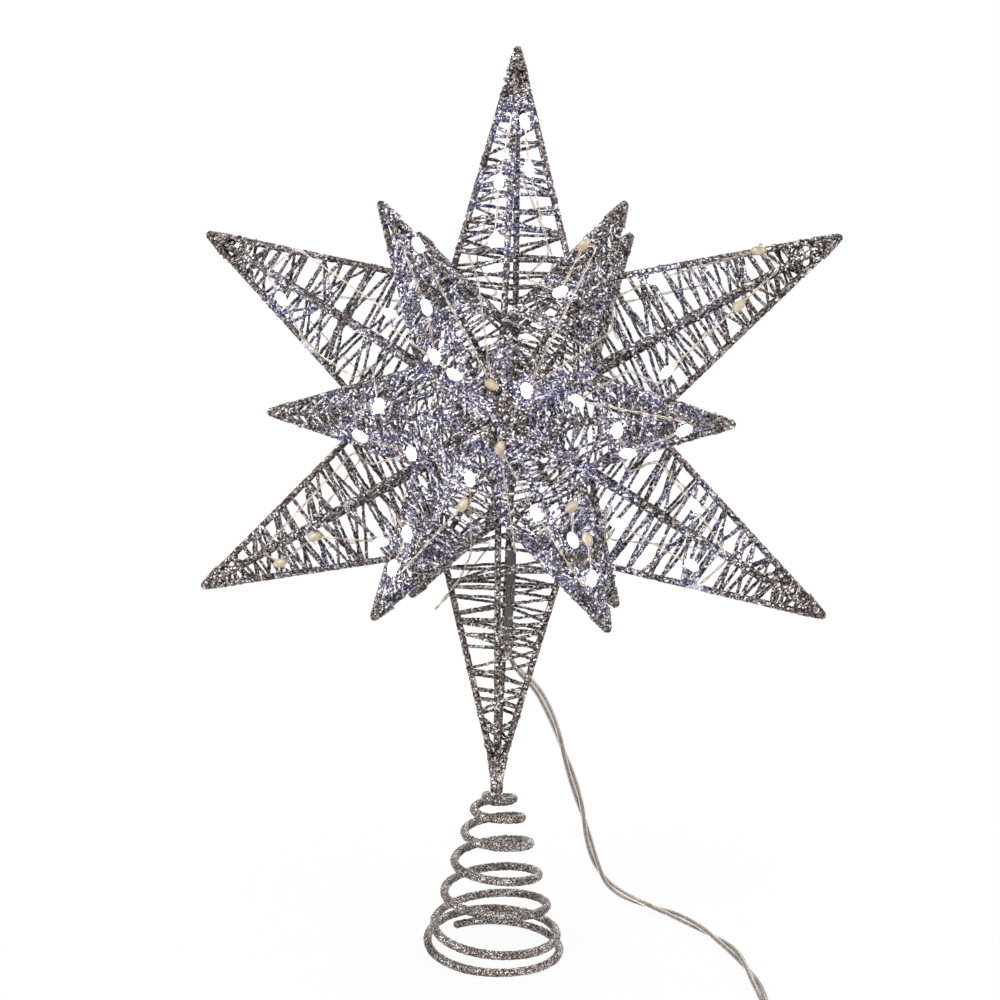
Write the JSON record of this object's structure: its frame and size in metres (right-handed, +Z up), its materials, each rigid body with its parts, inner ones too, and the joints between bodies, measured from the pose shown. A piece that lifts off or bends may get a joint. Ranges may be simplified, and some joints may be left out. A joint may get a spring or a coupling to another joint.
{
  "type": "christmas tree topper star",
  "caption": "Wire-frame tree topper star wound with silver glitter thread, with micro LED drops, a conical spring foot that grips the top shoot and a battery box on a clear lead.",
  "frame": {"origin": "middle of the spring foot's lowest turn, on the surface it stands on", "axes": "+Z up through the stem to the top point, -Y is the way the star faces, +X to the viewer's right"},
  "size_m": [0.215, 0.187, 0.3062],
  "materials": {
    "glitter_wire": "dark lacquer covered in fine silver glitter",
    "glitter_thread": "wound thread covered in fine silver glitter",
    "glitter_spring": "lacquer covered in fine silver glitter",
    "fine_wire": "lacquered fine copper wire",
    "lit_resin": "clear resin drop over a lit cold white chip",
    "unlit_resin": "resin drop over a beige phosphor, unlit",
    "sleeve": "dark shrink sleeve",
    "clear_lead": "clear twin-core lead with tinned copper cores",
    "box": "light grey moulded plastic, fine texture",
    "cell_jacket": "plain printed film",
    "contact_metal": "nickel plated spring steel",
    "board": "green solder mask",
    "switch_black": "black moulded plastic"
  },
  "bodies": {
    "base": {"spring_foot": "glitter_spring", "lead_lying": "clear_lead", "lead_grommet": "box", "battery_case": "box", "battery_cells": "cell_jacket", "contact_springs": "contact_metal", "contact_plates": "contact_metal", "control_board": "board", "switch_body": "switch_black"},
    "star": {"point_12_frame": "glitter_wire", "point_12_winding": "glitter_thread", "point_10_frame": "glitter_wire", "point_10_winding": "glitter_thread", "point_8_frame": "glitter_wire", "point_8_winding": "glitter_thread", "point_6_frame": "glitter_wire", "point_6_winding": "glitter_thread", "point_4_frame": "glitter_wire", "point_4_winding": "glitter_thread", "point_2_frame": "glitter_wire", "point_2_winding": "glitter_thread", "front_11_frame": "glitter_wire", "front_11_winding": "glitter_thread", "front_9_frame": "glitter_wire", "front_9_winding": "glitter_thread", "front_7_frame": "glitter_wire", "front_7_winding": "glitter_thread", "front_5_frame": "glitter_wire", "front_5_winding": "glitter_thread", "front_3_frame": "glitter_wire", "front_3_winding": "glitter_thread", "front_1_frame": "glitter_wire", "front_1_winding": "glitter_thread", "front_tips": "glitter_thread", "front_web": "glitter_thread", "front_knot": "glitter_wire", "rear_11_frame": "glitter_wire", "rear_11_winding": "glitter_thread", "rear_9_frame": "glitter_wire", "rear_9_winding": "glitter_thread", "rear_7_frame": "glitter_wire", "rear_7_winding": "glitter_thread", "rear_5_frame": "glitter_wire", "rear_5_winding": "glitter_thread", "rear_3_frame": "glitter_wire", "rear_3_winding": "glitter_thread", "rear_1_frame": "glitter_wire", "rear_1_winding": "glitter_thread", "rear_tips": "glitter_thread", "rear_web": "glitter_thread", "rear_knot": "glitter_wire", "point_tips": "glitter_thread", "stem_binding": "glitter_thread", "fairy_wire": "fine_wire", "lit_drops": "lit_resin", "unlit_drops": "unlit_resin", "splice_sleeve": "sleeve", "lead_hanging": "clear_lead"},
    "battery_lid": {"battery_lid": "box"},
    "switch_knob": {"switch_knob": "switch_black"}
  },
  "joints": [
    {"name": "coil_press", "type": "slide", "parent": "base", "child": "star", "axis": [0, 0, -1], "range_m": [0, 0.015], "stiffness_N_per_m": 500, "springref_m": -0.00272, "deforming": ["spring_foot"]},
    {"name": "lid_slide", "type": "slide", "parent": "base", "child": "battery_lid", "axis": [-1, 0, 0], "range_m": [0, 0.062]},
    {"name": "switch_slide", "type": "slide", "parent": "base", "child": "switch_knob", "axis": [0, -1, 0], "range_m": [0, 0.004]}
  ]
}
